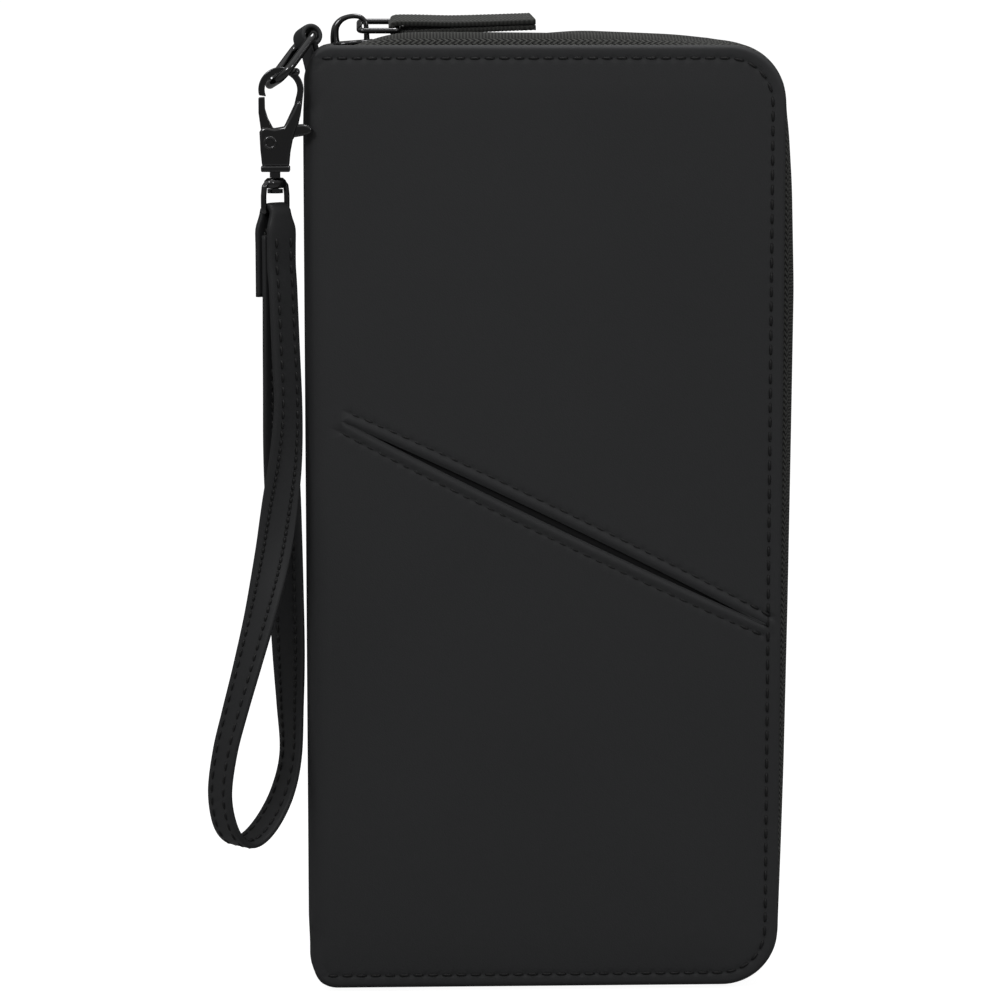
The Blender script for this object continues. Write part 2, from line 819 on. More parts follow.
def merge_close(obj, distance):
    """Joins points that lie on each other, so that shading runs across them."""
    bm = bmesh.new()
    bm.from_mesh(obj.data)
    bmesh.ops.remove_doubles(bm, verts=bm.verts, dist=distance)
    bm.to_mesh(obj.data)
    bm.free()


def stitch(parts, start, end, outward, thickness):
    """One stitch from hole to hole, its ends dipping into them."""
    middle = (start + end) / 2
    along = end - start
    rows = []
    for t, lift, scale in (
        (-0.34, -0.75, 0.6),
        (-0.28, -0.15, 0.95),
        (-0.12, 0.12, 1.0),
        (0.12, 0.12, 1.0),
        (0.28, -0.15, 0.95),
        (0.34, -0.75, 0.6),
    ):
        rows.append((middle + along * t + outward * lift * thickness, scale))
    centres = [row[0] for row in rows]
    radii = [row[1] * thickness / 2 for row in rows]
    parts.add(*rod(centres, radii, outward, sides=7))


def sew(name, rows, thickness, body):
    """Stitches along rows of (hole, outward) pairs, riding on one body."""
    parts = MeshParts()
    for row in rows:
        for (a, out_a), (b, out_b) in zip(row[:-1], row[1:]):
            stitch(parts, a, b, unit(out_a + out_b), thickness)
    obj = parts.build(name, material("thread"))
    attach(obj, body)
    return obj


def face_rows(flat_rows, side, rise=-0.2):
    """Flat seam rows laid on a cover's face."""
    outward = np.array([0.0, side, 0.0])
    return [[(wrapped(s, z, rise, side), outward) for s, z in row] for row in flat_rows]


# ---- Zip ----


# Height of each tape's fold over the covers' top edge, as x and height.
FRONT_CREST = (
    (-57, -1.4), (-50, -0.7), (-46, 0.3), (-43, 1.5), (-38, 2.8), (-32, 3.1), (-22, 3.1), (0, 2.9),
    (21, 2.3), (31, 1.5), (41, 0.7), (50, 0.5),
)
BACK_CREST = (
    (-57, -1.4), (-50, -1.1), (-46, -0.4), (-43, 0.5), (-38, 1.6), (-32, 1.9), (-22, 2.1), (0, 2.2),
    (21, 1.7), (31, 1.2), (41, 0.6), (50, 0.5),
)
# How far the teeth sink below the CAD's line along the top, as x and depth.
TOP_SINK = ((8, 0.2), (22, 0.75), (32, 1.2), (42, 2.3), (50, 2.9))
# How far the teeth stand out of the free edge, by share of its straight run from the foot.
SIDE_STAND = (
    (0, 0.8), (0.1, 1.4), (0.2, 1.9), (0.4, 2.5), (0.6, 2.9), (0.78, 3.2), (0.9, 2.5), (0.97, 1.5),
    (1, 0.6),
)
CORNER_STAND = 0.5
FOOT_STAND = 0.8
FOLD_BELOW_TEETH = 0.3
DIP_X = 8.0

# Across a tape, as shares of its width: where its fold is highest, and where it lies flat.
FOLD_SHARE = 0.35
FLAT_SHARE = 0.62
TUCKED = -0.35
TAPE_SHARES = np.concatenate([[-0.25, -0.08, 0.0, 0.03, 0.07], np.linspace(0.12, 1, 16)])

# The teeth: how far the row lies under the tapes' inner edges, its section from the zip's
# middle outwards (with the edge that stands apart beside the slider), and the notches.
TEETH_DEPTH = 0.95
TEETH_STEP = 0.375
TEETH_INNER = 0.2
TEETH_INNER_APART = 0.82
TEETH_OUTER = 2.5
TEETH_HALF_H = 0.55
TEETH_NOTCH = 0.35
TEETH_SIDE_NOTCH = 0.3
SLIDER_TRAVEL = 52


def from_table(rows, at):
    """A value read between the rows of a table of pairs."""
    return np.interp(at, *zip(*rows))


def zip_heights(x, z, top, dip, top_crest):
    """How far the teeth and the tape's fold stand out at one point of the covers' edge."""
    if z > HIGH_Z - 0.01:
        teeth = top - max(0.0, DIP_X - x) * dip - from_table(TOP_SINK, x)
        return teeth, from_table(top_crest, x)
    if z > HIGH_Z / 2 and x < RIGHT_X - 0.01:
        return CORNER_STAND, CORNER_STAND
    if x >= RIGHT_X - 0.01:
        straight = HIGH_Z - LOW_Z - BOTTOM_CORNER_R - TOP_CORNER_R
        teeth = from_table(SIDE_STAND, (z - LOW_Z - BOTTOM_CORNER_R) / straight)
        return teeth, teeth - FOLD_BELOW_TEETH
    return FOOT_STAND, FOOT_STAND - FOLD_BELOW_TEETH


def zip_line(step, top_crest):
    """The zip's run: flat points on the covers' edge, and how far it stands out there."""
    edge = skin_outline(step)
    start_x = limits("zip_tape_back")[0][0]
    kept = edge[edge[:, 0] > start_x][::-1]
    top = limits("zip_coil_back")[1][2] - HIGH_Z
    dip = math.tan(math.asin(joint_place("zip_slide")[1][2]))
    heights = np.array([zip_heights(x, z, top, dip, top_crest) for x, z in kept])
    reach = 4
    kernel = np.ones(2 * reach + 1) / (2 * reach + 1)
    padded = np.pad(heights, ((reach, reach), (0, 0)), mode="edge")
    stand, crest = [np.convolve(padded[:, k], kernel, mode="valid") for k in (0, 1)]
    return kept, stand, crest


def zip_frames(step, side):
    """Points along the zip with their outward normals and run length, in the X-Z plane."""
    line, stand, crest = zip_line(step, FRONT_CREST if side < 0 else BACK_CREST)
    outward = inward_normals(line)
    return line, outward, stand, crest, run_length(line)


def tape_rise(share, stand, crest):
    """Height of a tape over the covers' edge, from its cover (share 0) to the teeth (share 1)."""
    if share < FOLD_SHARE:
        return TUCKED + (crest - TUCKED) * math.sin(share / FOLD_SHARE * math.pi / 2) ** 0.7
    blend = min((share - FOLD_SHARE) / (FLAT_SHARE - FOLD_SHARE), 1.0)
    return crest + (stand - crest) * (1 - math.cos(math.pi * blend)) / 2


def build_tape(name, side):
    """A zip tape, from under the cover's edge over to the middle of the zip."""
    line, outward, stand, crest, run = zip_frames(EDGE_STEP, side)
    reach = HALF_T - 1.3
    points, uvs, faces = [], [], []
    for (x, z), n, b, c, u in zip(line, outward, stand, crest, run):
        across, last = 0.0, None
        for t in TAPE_SHARES:
            out = tape_rise(max(t, 0), b, c) + min(t, 0) * 14
            y = reach - max(t, 0) * (reach - 0.16)
            if last is not None and t > 0:
                across += math.hypot(out - last[0], y - last[1])
            last = (out, y)
            points.append((x + n[0] * out, side * y, z + n[1] * out))
            uvs.append((u, across))
    size = len(TAPE_SHARES)
    for i in range(len(line) - 1):
        for k in range(size - 1):
            quad = (i * size + k, (i + 1) * size + k, (i + 1) * size + k + 1, i * size + k + 1)
            faces.append(quad if side > 0 else quad[::-1])
    obj = add_mesh(name, points, faces, material("zip_tape"), uvs=uvs)
    solid = obj.modifiers.new("Cloth thickness", "SOLIDIFY")
    solid.thickness = 0.0004
    solid.offset = 1.0
    return obj


def build_teeth(name, side, start_x):
    """The row of teeth under a tape's inner edge, one notch for each tooth."""
    line, outward, stand, _, _ = zip_frames(TEETH_STEP, side)
    apart_until = limits("slider_body")[1][0] + SLIDER_TRAVEL
    sections = []
    for i, ((x, z), n, b) in enumerate(zip(line, outward, stand)):
        if z > HIGH_Z / 2 and x < start_x:
            continue
        low = TEETH_INNER_APART if z > HIGH_Z / 2 and x < apart_until else TEETH_INNER
        notch = TEETH_NOTCH * (i // 2 % 2)
        depth = b - TEETH_DEPTH
        centre = np.array([x + n[0] * depth, 0, z + n[1] * depth])
        out = np.array([n[0], 0, n[1]])
        across = np.array([0.0, side, 0.0])
        half_w = (TEETH_OUTER - low) / 2 - notch * TEETH_SIDE_NOTCH
        middle = centre + across * (low + TEETH_OUTER) / 2
        sections.append(oval(middle, across, out, half_w, TEETH_HALF_H - notch, 8, 3.0))
    return add_mesh(name, *loft(sections), material("zip_teeth"))


# ---- Operators ----


class WALLET_OT_covers(bpy.types.Operator):
    """Build the outer skins with their seams and the slash pocket's lips"""

    bl_idname = "wallet.covers"
    bl_label = "Build Covers"

    def execute(self, context):
        settings = context.scene.wallet
        thread = settings.thread_thickness * METRE
        front = build_skin("front_cover_skin", -1, settings, slit=True)
        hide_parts("front_skin", "front_foam", "spine_skin")
        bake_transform(front)
        back = build_skin("back_cover_skin", 1, settings, slit=False)
        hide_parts("back_skin", "back_foam", "spine_skin")
        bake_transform(back)
        seam = cover_seam(settings)
        front_rows = face_rows([seam], -1) + face_rows(slit_seams(settings), -1, -0.1)
        sew("front_cover_stitches", front_rows, thread, "front_cover")
        sew("back_cover_stitches", face_rows([seam], 1), thread, "back_cover")
        lips = MeshParts()
        for line in pocket_lips():
            centres = [wrapped(s, z, -0.33, -1) for s, z in line]
            lips.add(*rod(centres, LIP_R, np.array([0.0, 1.0, 0.0]), sides=10))
        piping = lips.build("slash_pocket_lips", material("pu_leather"))
        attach(piping, "front_cover")
        return {"FINISHED"}


def rounded_corner(x, z, x1, z0, z1, radius):
    """A point of a rectangle moved so that the corners at its free edge become round."""
    upper = z > (z0 + z1) / 2
    middle_z = z1 - radius if upper else z0 + radius
    dx, dz = x - (x1 - radius), z - middle_z
    if dx <= 0 or (dz <= 0 if upper else dz >= 0):
        return x, z
    shrink = max(dx, abs(dz)) / math.hypot(dx, dz)
    return x1 - radius + dx * shrink, middle_z + dz * shrink


PANEL_COLUMNS = 34
PANEL_ROWS = 60
PANEL_T = 0.45
HEM = 4.5


def panel_rim():
    """Indices of the points round a panel's edge, in order."""
    rim = [i * PANEL_ROWS for i in range(PANEL_COLUMNS)]
    rim += [(PANEL_COLUMNS - 1) * PANEL_ROWS + k for k in range(1, PANEL_ROWS)]
    rim += [i * PANEL_ROWS + PANEL_ROWS - 1 for i in range(PANEL_COLUMNS - 2, -1, -1)]
    rim += list(range(PANEL_ROWS - 2, 0, -1))
    return rim


def panel_faces(turned):
    """Faces of a panel's front, back and rim; turned says that it faces the other way."""
    total = PANEL_COLUMNS * PANEL_ROWS
    faces = []
    for layer in (0, 1):
        for i in range(PANEL_COLUMNS - 1):
            for k in range(PANEL_ROWS - 1):
                base = layer * total + i * PANEL_ROWS + k
                quad = (base, base + PANEL_ROWS, base + PANEL_ROWS + 1, base + 1)
                faces.append(quad if (layer == 1) != turned else quad[::-1])
    rim = panel_rim()
    for a, b in zip(rim, rim[1:] + rim[:1]):
        quad = (a, b, b + total, a + total)
        faces.append(quad if turned else quad[::-1])
    return faces


def cloth_panel(node, y, body, slot_name, puff, inset, corner_r):
    """A sewn cloth panel facing the middle of the wallet, puffed between its seams."""
    low, high = limits(node)
    x0, x1, z0, z1 = low[0] + inset, high[0] - inset, low[2] + inset, high[2] - inset
    face = -1.0 if y > 0 else 1.0
    points, uvs = [], []
    for layer in (0, 1):
        for x in np.linspace(x0, x1, PANEL_COLUMNS):
            for z in np.linspace(z0, z1, PANEL_ROWS):
                across, up = (x - x0) / (x1 - x0), min((z - z0) / (z1 - z0), 0.97)
                swell = puff * math.sin(math.pi * across) ** 0.5 * math.sin(math.pi * up) ** 0.5
                half_t = PANEL_T / 2 + (0.12 if z1 - z < HEM else 0.0)
                depth = swell + (half_t if layer else -half_t)
                px, pz = rounded_corner(x, z, x1, z0, z1, corner_r) if corner_r else (x, z)
                points.append((px, y + face * depth, pz))
                uvs.append((px, pz))
    obj = add_mesh(node + "_cloth", points, panel_faces(face < 0), material(slot_name), uvs=uvs)
    return place_piece(obj, slot_name, body, node)


class WALLET_OT_inside(bpy.types.Operator):
    """Build the linings and pockets inside the covers"""

    bl_idname = "wallet.inside"
    bl_label = "Build Inside"

    def execute(self, context):
        panels = (
            ("back_lining", "back_cover", "lining", 0.0),
            ("front_lining", "front_cover", "lining", 0.0),
            ("boarding_pass_sleeve", "back_cover", "pocket_cloth", 0.1),
            ("passport_pocket", "back_cover", "pocket_cloth", 0.25),
            *((f"card_pocket_{row}", "front_cover", "pocket_cloth", 0.1) for row in (1, 2, 3, 4)),
        )
        for node, body, slot_name, puff in panels:
            low, high = limits(node)
            y = low[1] + 0.3 if body == "back_cover" else high[1] - 0.3
            inset, corner_r = (1.5, TOP_CORNER_R) if slot_name == "lining" else (0.0, 0.0)
            cloth_panel(node, y, body, slot_name, puff, inset, corner_r)
        dress("spine_lining", "lining")
        dress("slash_pocket_lining", "lining")
        for node in ("front_board", "back_board", "spine_board"):
            dress(node, "board")
        return {"FINISHED"}


class WALLET_OT_zip(bpy.types.Operator):
    """Build the zip's tapes and teeth"""

    bl_idname = "wallet.zip"
    bl_label = "Build Zip"

    def execute(self, context):
        for label, side, body in (("front", -1, "front_cover"), ("back", 1, "back_cover")):
            tape = build_tape(f"zip_tape_{label}_cloth", side)
            place_piece(tape, "zip_tape", body, f"zip_tape_{label}")
            past_slider = limits("slider_body")[1][0] + 2
            start_x = limits("zip_coil_back")[0][0] if side > 0 else past_slider
            teeth = build_teeth(f"zip_teeth_{label}", side, start_x)
            place_piece(teeth, "zip_teeth", body, f"zip_coil_{label}")
        dress("zip_stops", "black_metal")
        return {"FINISHED"}


class WALLET_OT_slider(bpy.types.Operator):
    """Build the slider, its bail and the webbing tab, and finish the link"""

    bl_idname = "wallet.slider"
    bl_label = "Build Slider"

    def execute(self, context):
        self.plates()
        self.bail()
        dress("pull_link", "black_metal", 0.1)
        self.webbing()
        return {"FINISHED"}

    def at(self, run, lift, depth=0.0):
        """A point of the slider's own frame: along the zip, up from its foot, and back."""
        low = limits("slider_body")[0]
        along = unit(joint_place("zip_slide")[1])
        up = np.cross(along, BACKWARDS)
        return np.array([low[0], 0.0, low[2]]) + up * (0.05 + lift) + along * run + BACKWARDS * depth

    def plates(self):
        """The slider's two plates, the sides that join them and the wedge between the teeth."""
        up = unit(self.at(0, 1) - self.at(0, 0))
        parts = MeshParts()
        for lift in (0.6, 4.1):
            outline = [(0.6, 2.6), (2.2, 4.0), (5.0, 4.1), (8.2, 3.4), (10.4, 3.1)]
            sections = [
                oval(self.at(run, lift), BACKWARDS, up, half_w, 0.6, 20, 4.0) for run, half_w in outline
            ]
            parts.add(*loft(sections))
        for side in (-1, 1):
            wall = [self.at(run, 1.2, side * 3.75) for run in (1.5, 5.0, 8.5)]
            parts.add(*rod(wall, 0.75, BACKWARDS, flat=0.5, sides=12))
        wedge = [self.at(2.6, lift) for lift in (0.8, 4.2)]
        parts.add(*rod(wedge, 1.2, BACKWARDS, flat=0.35, sides=16))
        plates = parts.build("slider_plates", material("black_metal"))
        place_piece(plates, "black_metal", "slider", "slider_body")

    def bail(self):
        """The arch that the link hangs in, thick at its foot and thin at its top."""
        arch = [
            (1.1, 4.3), (1.1, 6.2), (1.6, 8.4), (3.2, 10.0), (5.6, 10.6), (7.8, 10.2), (8.9, 8.8),
            (9.0, 6.6), (8.9, 4.3),
        ]
        line = resample(smooth_rows([self.at(*row) for row in arch], 6), 0.35)
        share = np.linspace(0, 1, len(line))
        thick = np.interp(share, [0, 0.2, 0.45, 0.8, 1], [1.15, 0.95, 0.6, 0.6, 0.75])
        parts = MeshParts()
        parts.add(*rod(line, thick, BACKWARDS, sides=18))
        arch_piece = parts.build("slider_arch", material("black_metal"))
        place_piece(arch_piece, "black_metal", "slider", "slider_bail")

    def webbing(self):
        """One length of ribbed webbing, from its free end round the link and back."""
        place, axis = joint_place("tab_swing")
        across = unit(axis)
        level_up = unit(np.cross(np.array([1.0, 0.0, 0.0]), across))
        rise = math.radians(2.0)
        along = np.array([math.cos(rise), 0.0, 0.0]) + level_up * math.sin(rise)
        up = unit(np.cross(along, across))
        length = limits("pull_tab")[1][0] - place[0]
        low, high = limits("pull_link")
        half_w = (high[1] - low[1]) / 2 - 1.45
        line = resample(smooth_rows(webbing_rows(length), 24), 0.2)
        run = run_length(line)
        sides = 24
        sections = []
        for i, (x, h) in enumerate(line):
            ahead = line[min(i + 1, len(line) - 1)] - line[max(i - 1, 0)]
            tangent = unit(ahead[0] * along + ahead[1] * up)
            normal = unit(np.cross(tangent, across))
            rib = 0.055 * math.cos(2 * math.pi * run[i] / 0.95)
            centre = place + along * x + up * h
            loop = oval(centre, across, normal, half_w, 0.7 + rib, sides, 6.0)
            slant = -0.2 * max(0.0, (x - length + 3) / 3)
            sections.append([p + along * slant * ((p - centre) @ across) for p in loop])
        points, faces = loft(sections)
        uvs = [(run[i // sides], (p - place) @ across) for i, p in enumerate(points)]
        tab = add_mesh("pull_tab_webbing", points, faces, material("webbing"), uvs=uvs)
        place_piece(tab, "webbing", "tab", "pull_tab")


def webbing_rows(length):
    """The pull tab's middle line, as distance from the link and height over its middle."""
    bar_r = 1.5
    turns = np.radians([-100, -140, -180, -220, -260])
    lower = [(length, -0.75), (length * 0.7, -0.8), (length * 0.4, -0.95), (4.5, -1.2)]
    bend = [(bar_r * math.cos(a), bar_r * math.sin(a)) for a in turns]
    upper = [(4.5, 1.35), (length * 0.4, 0.85), (length * 0.7, 0.75), (length, 0.75)]
    return lower + bend + upper


class WALLET_OT_ring(bpy.types.Operator):
    """Build the ring's leather tab and finish the ring"""

    bl_idname = "wallet.ring"
    bl_label = "Build Ring"

    def execute(self, context):
        dress("oval_ring", "black_metal")
        place, axis = joint_place("ring_swing")
        across = unit(axis)
        radius = 2.25
        up = unit(np.array([0, 0, 1.0]) - across * across[2])
        right = unit(np.cross(across, up))
        turns = np.radians(np.arange(-70, 251, 10))
        loop = [place + right * radius * math.cos(a) + up * radius * math.sin(a) for a in turns]
        low = place + np.array([1.6, 0, -8.0])
        line = np.array([low + right * 0.7] + loop + [low - right * 0.7])
        line = smooth_rows(line, 3)
        sections = []
        for i, centre in enumerate(line):
            tangent = unit(line[min(i + 1, len(line) - 1)] - line[max(i - 1, 0)])
            normal = unit(np.cross(tangent, across))
            sections.append(oval(centre, across, normal, 3.0, 0.6, 20, 5.0))
        tab = add_mesh("ring_tab_leather", *loft(sections), material("pu_leather"))
        place_piece(tab, "pu_leather", "spine", "ring_tab")
        return {"FINISHED"}


# Outlines of the clasp in its own plane, as x and z from the middle of its hook.
CHEEK = (
    (-5.3, -10.2), (-4.7, -9.2), (-3.4, -9.0), (-1.6, -9.3), (0.6, -8.9), (2.6, -5.6), (3.9, -2.6),
    (5.2, -2.9), (4.7, -6.4), (3.5, -9.8), (2.8, -12.2), (2.2, -15.2), (1.9, -18.6), (-4.7, -18.6),
    (-5.1, -14.6),
)
CLASP_FLANGE = ((-5.0, -18.4), (2.1, -18.4), (2.1, -19.9), (-5.0, -19.9))
GATE = (
    (-5.5, -1.85), (-3.95, -1.75), (-3.9, -4.6), (-3.2, -6.9), (-1.9, -9.4), (-1.9, -12.6), (-4.4, -12.6),
    (-5.0, -9.4), (-5.5, -5.6),
)
LEVER = (
    (1.2, -8.7), (5.2, -8.3), (6.7, -8.6), (7.5, -9.4), (7.4, -10.3), (6.6, -10.9), (5.2, -11.2),
    (1.2, -11.9),
)


HOOK_R = 5.5
HOOK_ROD = 1.55


def arc(radius, start, stop, step):
    """Points of an arc round the origin, between two angles in degrees."""
    turns = np.radians(np.arange(start, stop, step))
    return [(radius * math.cos(a), radius * math.sin(a)) for a in turns]


def hook_outline():
    """The bent hook, from its nose round the top and down the fixed side."""
    outer = arc(HOOK_R, -10, 198, 6)
    inner = arc(HOOK_R - HOOK_ROD, 204, -16, -6)
    root = [(3.2, -3.6), (1.2, -7.8), (1.2, -12.0), (3.0, -12.0)]
    return [(4.2, -8.5), (5.0, -4.5), *outer, *inner, *root]


def plate(name, middle, outline, half_t, rounding):
    """An upright plate with rounded edges; its outline is in x and z from its middle."""
    loop = np.array(outline, float)
    size = len(loop)
    points = []
    for y in (-half_t, half_t):
        points += [middle + np.array([x, y, z]) for x, z in loop]
    ahead = np.roll(loop, -1, 0)
    area = 0.5 * np.sum(loop[:, 0] * ahead[:, 1] - loop[:, 1] * ahead[:, 0])
    faces = [tuple(range(size)), tuple(range(2 * size - 1, size - 1, -1))]
    for i in range(size):
        j = (i + 1) % size
        faces.append((j, i, size + i, size + j))
    if area < 0:
        faces = [face[::-1] for face in faces]
    obj = add_mesh(name, points, faces, material("black_metal"))
    obj.data.set_sharp_from_angle(angle=math.radians(50))
    modifier = obj.modifiers.new("Rounded edges", "BEVEL")
    modifier.width = rounding / METRE
    modifier.segments = 4
    modifier.limit_method = "ANGLE"
    modifier.angle_limit = math.radians(60)
    return obj


class WALLET_OT_clasp(bpy.types.Operator):
    """Build the lobster clasp with its gate, and finish its swivel"""

    bl_idname = "wallet.clasp"
    bl_label = "Build Clasp"

    def execute(self, context):
        rivet, _ = joint_place("gate_open")
        hook = rivet + np.array([2.7, 0.0, 12.8])
        hook_piece = plate("clasp_hook_and_body", hook, hook_outline(), 1.15, 0.6)
        place_piece(hook_piece, "black_metal", "clasp", "clasp_body")
        cheeks = plate("clasp_cheeks", hook, CHEEK, 2.1, 0.7)
        place_piece(cheeks, "black_metal", "clasp", "clasp_body")
        place_piece(plate("clasp_flange", hook, CLASP_FLANGE, 2.25, 0.4), "black_metal", "clasp")
        self.stop(hook)
        leaf = plate("clasp_gate_leaf", hook, GATE, 1.0, 0.25)
        place_piece(leaf, "black_metal", "gate", "clasp_gate")
        lever = plate("clasp_gate_lever", hook, LEVER, 1.15, 0.55)
        place_piece(lever, "black_metal", "gate", "clasp_gate")
        self.eyelet(rivet)
        self.strap_loop()
        for node in ("clasp_rivet", "swivel_post"):
            dress(node, "black_metal", 0.25)
        dress("gate_spring", "spring_steel")
        return {"FINISHED"}

    def stop(self, hook):
        """The small round stud on the hook's shoulder."""
        middle = hook + np.array([3.7, 0.0, 4.3])
        parts = MeshParts()
        ends = [middle + BACKWARDS * depth for depth in (-1.35, 1.35)]
        parts.add(*rod(ends, 0.95, np.array([0.0, 0.0, 1.0]), sides=18))
        stud = parts.build("clasp_stop", material("black_metal"))
        place_piece(stud, "black_metal", "clasp", "clasp_body")

    def eyelet(self, rivet):
        """The rolled rim of the hollow rivet, on each face."""
        parts = MeshParts()
        for depth in (-2.35, 2.35):
            centres = [rivet + np.array([x, depth, z]) for x, z in arc(1.3, 0, 360, 15)]
            parts.add(*rod(centres, 0.42, BACKWARDS, sides=12, closed=True))
        place_piece(parts.build("clasp_eyelet", material("black_metal")), "black_metal", "clasp")

    def strap_loop(self):
        """A wire loop with a rounded housing at its top, turned as the strap's bar is."""
        bar, axis = joint_place("strap_swing")
        side = unit(np.array([axis[0], axis[1], 0.0]))
        up = np.array([0.0, 0.0, 1.0])
        front = np.cross(side, up)
        top = limits("strap_loop")[1][2] - bar[2]
        wire_r, leg, bend = LOOP_WIRE / 2, 3.9, 1.5
        turns = np.radians(np.arange(0, 91, 15))
        right = [(leg - bend + bend * math.sin(a), bend - bend * math.cos(a)) for a in turns]
        half = right + [(leg, top * 0.5), (leg - 0.3, top - 2.0), (leg - 1.4, top - 0.9)]
        outline = [(-x, z) for x, z in half[::-1]] + half
        parts = MeshParts()
        centres = [bar + side * x + up * z for x, z in outline]
        parts.add(*rod(resample(np.array(centres), 0.3), wire_r, front, sides=14))
        levels = [(top - 2.5, 2.2, 1.3), (top - 2.2, 3.1, 1.6), (top - 0.7, 3.0, 1.6), (top, 2.2, 1.2)]
        sections = [oval(bar + up * z, side, front, a, b, 24, 3.0) for z, a, b in levels]
        parts.add(*loft(sections))
        loop = parts.build("swivel_loop", material("black_metal"))
        place_piece(loop, "black_metal", "swivel", "strap_loop")


# The strap's middle line as it hangs: x, y, z and the turn of its width from +X towards +Y.
HANG = (
    (-66.9, -13.9, 191, 45),
    (-66.9, -13.9, 180, 46),
    (-66.9, -13.6, 166, 44),
    (-66.6, -12.6, 148, 34),
    (-65.9, -11.2, 126, 4),
    (-65.4, -9.4, 106, -14),
    (-64.9, -7.9, 88, -27),
    (-64.6, -7.0, 73, -44),
    (-64.5, -7.4, 60.5, -56),
    (-66.4, -9.2, 51.6, -54),
    (-69.8, -12.3, 44.8, -50),
    (-73.8, -16.6, 40.8, -47),
    (-77.4, -20.6, 40.7, -46),
    (-80.3, -23.8, 45.4, -48),
    (-81.6, -25.4, 54, -52),
    (-80.3, -25.6, 64.4, -52),
    (-77.9, -25.0, 74, -50),
    (-74.6, -23.6, 86, -44),
    (-71.2, -21.4, 99, -32),
    (-68.4, -19.2, 112, -11),
    (-66.6, -17.6, 124, 10),
    (-65.0, -16.6, 136, 31),
    (-64.3, -16.0, 149, 45),
    (-64.8, -15.8, 164, 46),
    (-65.3, -15.5, 178, 46),
)
STRAP_W = 9.0
STRAP_T = 1.8
STRAP_NECK_W = 6.4
STRAP_STITCH = 3.3
STRAP_SEAM_INSET = 2.1
LOOP_WIRE = 1.4


def strap_rows():
    """The strap's whole line: the hanging legs, the turn over the bar and the folded end."""
    bar, axis = joint_place("strap_swing")
    turn = math.degrees(math.atan2(axis[1], axis[0]))
    across = np.array([math.sin(math.radians(turn)), -math.cos(math.radians(turn))])
    wrap_r = LOOP_WIRE / 2 + 0.15 + STRAP_T / 2
    gap = STRAP_T + 0.25

    def beside(offset, z):
        """A row beside the bar, where the band narrows to pass through the loop."""
        narrow = STRAP_NECK_W + (bar[2] - min(z, bar[2])) * 0.65
        width = narrow if z > bar[2] - 4 else STRAP_W
        return (bar[0] + offset * across[0], bar[1] + offset * across[1], z, turn, width)

    rows = [(*row, STRAP_W) for row in HANG]
    rows += [beside(gap - (0.2 if drop < 3 else 0), bar[2] - drop) for drop in (13, 8, 4, 1.5)]
    for a in np.radians(np.arange(0, 181, 22.5)):
        rows.append(beside(wrap_r * math.cos(a), bar[2] + wrap_r * math.sin(a)))
    rows += [beside(-gap + (0.2 if drop < 3 else 0), bar[2] - drop) for drop in (1.5, 4, 8, 14, 20.5)]
    return rows


def strap_frame(line, i):
    """Middle, width direction and outward direction of the strap at one of its points."""
    here = line[i][:3]
    along = unit(line[min(i + 1, len(line) - 1)][:3] - line[max(i - 1, 0)][:3])
    turn = math.radians(line[i][3])
    aim = np.array([math.cos(turn), math.sin(turn), 0.0])
    side = unit(aim - along * (aim @ along))
    return here, side, np.cross(along, side)


class WALLET_OT_strap(bpy.types.Operator):
    """Build the wrist strap with its seams"""

    bl_idname = "wallet.strap"
    bl_label = "Build Strap"

    def execute(self, context):
        settings = context.scene.wallet
        line = resample(smooth_rows(strap_rows(), 8), 1.1)
        sections = []
        for i in range(len(line)):
            centre, side, out = strap_frame(line, i)
            sections.append(oval(centre, side, out, line[i][4] / 2, STRAP_T / 2 - 0.08, 28, 5.0))
        strap = add_mesh("wrist_strap_leather", *loft(sections), material("strap_leather"))
        place_piece(strap, "strap_leather", "strap", "wrist_strap")
        holes = resample(line, STRAP_STITCH)
        rows = []
        for edge in (-1, 1):
            for face in (-1, 1):
                rows += split_row(strap_seam(holes, edge, face), 1.5 * STRAP_STITCH)
        thread = settings.thread_thickness * METRE
        sew("wrist_strap_stitches", rows, thread, "strap")
        return {"FINISHED"}


def strap_seam(holes, edge, face):
    """Needle holes beside one edge of the strap on one face, where it has its full width."""
    row = []
    for i in range(2, len(holes) - 1):
        centre, side, out = strap_frame(holes, i)
        if holes[i][4] < STRAP_W - 0.3:
            continue
        inset = edge * (holes[i][4] / 2 - STRAP_SEAM_INSET)
        row.append((centre + side * inset + out * face * (STRAP_T / 2 - 0.06), out * face))
    return row


def split_row(row, longest):
    """Breaks a seam wherever two holes lie further apart than one stitch can be."""
    rows, current = [], [row[0]]
    for before, after in zip(row[:-1], row[1:]):
        if np.linalg.norm(after[0] - before[0]) > longest:
            rows.append(current)
            current = []
        current.append(after)
    rows.append(current)
    return [r for r in rows if len(r) > 1]


# Soft lamps: name, place, side of the square and power, in metres and watts.
LIGHTS = (
    ("key", (-0.28, -0.4, 0.52), 0.12, 0.62),
    ("fill", (0.5, -0.45, 0.42), 0.1, 0.34),
    ("top", (0.05, 0.05, 0.7), 0.2, 1.3),
)
AIM = Vector((0.0, 0.0, 0.12))

# The camera looks at this point and sees this width there.
TARGET = Vector((-0.0117, 0.0, 0.1233))
SEEN_WIDTH = 0.2511
SENSOR = 36.0


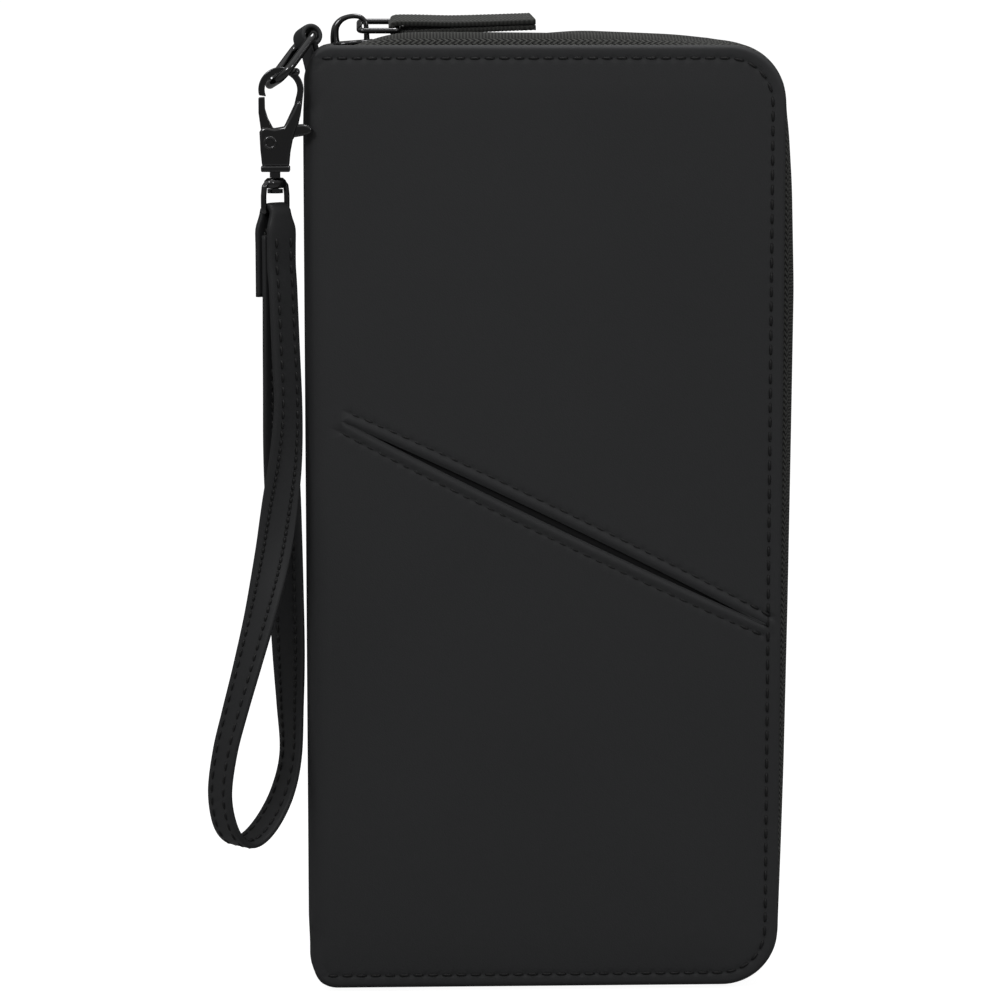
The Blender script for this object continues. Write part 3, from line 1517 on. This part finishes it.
class WALLET_OT_stage(bpy.types.Operator):
    """Build the floor, the lights and the camera"""

    bl_idname = "wallet.stage"
    bl_label = "Build Stage"

    def execute(self, context):
        settings = context.scene.wallet
        self.backdrop()
        world = bpy.data.worlds.new("Studio")
        context.scene.world = world
        world.use_nodes = True
        tree = world.node_tree
        background = tree.nodes["Background"]
        background.inputs["Color"].default_value = (1.0, 1.0, 1.0, 1.0)
        low_light, high_light = 0.13, 0.68
        split = tree.nodes.new("ShaderNodeSeparateXYZ")
        tree.links.new(tree.nodes.new("ShaderNodeTexCoord").outputs["Generated"], split.inputs[0])
        sky = math_node(tree, "MAXIMUM", split.outputs[2], 0.0)
        sky = math_node(tree, "MULTIPLY", sky, high_light - low_light)
        sky = math_node(tree, "ADD", sky, low_light)
        seen = tree.nodes.new("ShaderNodeLightPath").outputs["Is Camera Ray"]
        tree.links.new(math_node(tree, "MAXIMUM", sky, seen), background.inputs["Strength"])
        for lamp in LIGHTS:
            self.light(*lamp)
        self.camera(context, settings)
        context.scene.view_settings.view_transform = "Standard"
        return {"FINISHED"}

    def backdrop(self):
        """A pale floor that curves up into a wall behind the wallet."""
        paper, shader = new_material("backdrop", (0.3, 0.3, 0.3), 0.9, specular=0.1)
        tree = paper.node_tree
        seen = tree.nodes.new("ShaderNodeLightPath").outputs["Is Camera Ray"]
        glow = math_node(tree, "MULTIPLY", seen, 0.95)
        shader.inputs["Emission Color"].default_value = (1.0, 1.0, 1.0, 1.0)
        tree.links.new(glow, shader.inputs["Emission Strength"])
        bend = 700.0
        side = [(-1500.0, -0.2), (900.0, -0.2)]
        for turn in np.radians(np.arange(5, 91, 5)):
            side.append((900.0 + bend * math.sin(turn), bend - 0.2 - bend * math.cos(turn)))
        side.append((900.0 + bend, 4000.0))
        points = [(x, y, z) for y, z in side for x in (-4000.0, 4000.0)]
        faces = [(2 * i, 2 * i + 1, 2 * i + 3, 2 * i + 2) for i in range(len(side) - 1)]
        add_mesh("backdrop", points, faces, paper)

    def light(self, name, place, size, power):
        """One square lamp, aimed at the wallet's middle."""
        lamp = bpy.data.lights.new(name, "AREA")
        lamp.shape = "SQUARE"
        lamp.size = size
        lamp.energy = power
        obj = bpy.data.objects.new(name, lamp)
        bpy.context.scene.collection.objects.link(obj)
        obj.location = place
        obj.rotation_euler = (AIM - obj.location).to_track_quat("-Z", "Y").to_euler()

    def camera(self, context, settings):
        """The camera, in front of the wallet and a little above it."""
        camera = bpy.data.cameras.new("camera")
        distance = settings.camera_distance
        camera.lens = SENSOR * distance / SEEN_WIDTH
        camera.clip_start = 0.05
        camera.clip_end = 30.0
        obj = bpy.data.objects.new("camera", camera)
        context.scene.collection.objects.link(obj)
        a, e = settings.camera_azimuth, settings.camera_elevation
        back = Vector((math.sin(a) * math.cos(e), -math.cos(a) * math.cos(e), math.sin(e)))
        obj.location = TARGET + back * distance
        obj.rotation_euler = (-back).to_track_quat("-Z", "Y").to_euler()
        context.scene.camera = obj


OPERATORS = (
    WALLET_OT_covers,
    WALLET_OT_inside,
    WALLET_OT_zip,
    WALLET_OT_slider,
    WALLET_OT_ring,
    WALLET_OT_clasp,
    WALLET_OT_strap,
    WALLET_OT_stage,
)


class WALLET_PT_panel(bpy.types.Panel):
    """Settings and build buttons in the 3D view's sidebar"""

    bl_idname = "WALLET_PT_panel"
    bl_label = "Passport Wallet"
    bl_space_type = "VIEW_3D"
    bl_region_type = "UI"
    bl_category = "Wallet"

    def draw(self, context):
        layout = self.layout
        settings = context.scene.wallet
        for name in settings.__annotations__:
            layout.prop(settings, name)
        for operator in OPERATORS:
            layout.operator(operator.bl_idname)


CLASSES = (WalletSettings, *OPERATORS, WALLET_PT_panel)


def register():
    for cls in CLASSES:
        bpy.utils.register_class(cls)
    bpy.types.Scene.wallet = bpy.props.PointerProperty(type=WalletSettings)


def unregister():
    del bpy.types.Scene.wallet
    for cls in reversed(CLASSES):
        bpy.utils.unregister_class(cls)


def main():
    register()
    bpy.ops.wallet.covers()
    bpy.ops.wallet.inside()
    bpy.ops.wallet.zip()
    bpy.ops.wallet.slider()
    bpy.ops.wallet.ring()
    bpy.ops.wallet.clasp()
    bpy.ops.wallet.strap()
    bpy.ops.wallet.stage()


if __name__ == "__main__":
    main()
